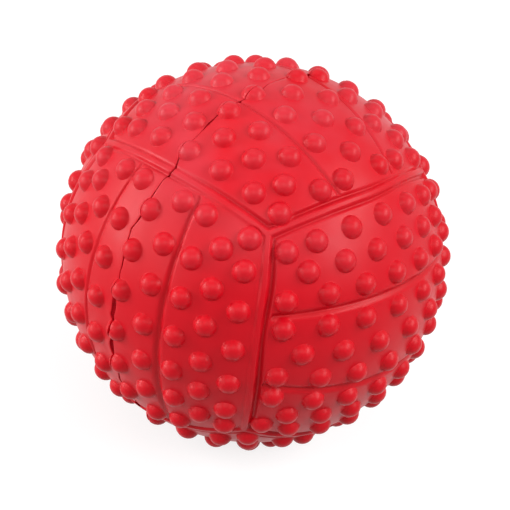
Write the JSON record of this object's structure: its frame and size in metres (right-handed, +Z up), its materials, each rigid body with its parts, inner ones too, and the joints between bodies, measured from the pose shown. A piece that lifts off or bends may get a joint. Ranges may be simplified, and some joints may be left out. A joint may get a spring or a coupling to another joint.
{
  "type": "rubber play ball",
  "caption": "Hollow moulded rubber play ball with round nubs and the panel grooves of a volleyball, for throwing and catching.",
  "frame": {"origin": "Centre of the ball, which is also the centre of its bounding box.", "axes": "+Z is up. The cube that carries the panel pattern has its faces square to X, Y and Z. The two half shells meet on a plane square to X, just on the -X side of the centre."},
  "size_m": [0.0696, 0.0696, 0.0696],
  "materials": {
    "red_rubber": "satin",
    "rubber_cement": "matte"
  },
  "bodies": {
    "root": {"left_half_shell": "red_rubber", "right_half_shell": "red_rubber", "cement_ring": "rubber_cement"}
  },
  "joints": []
}
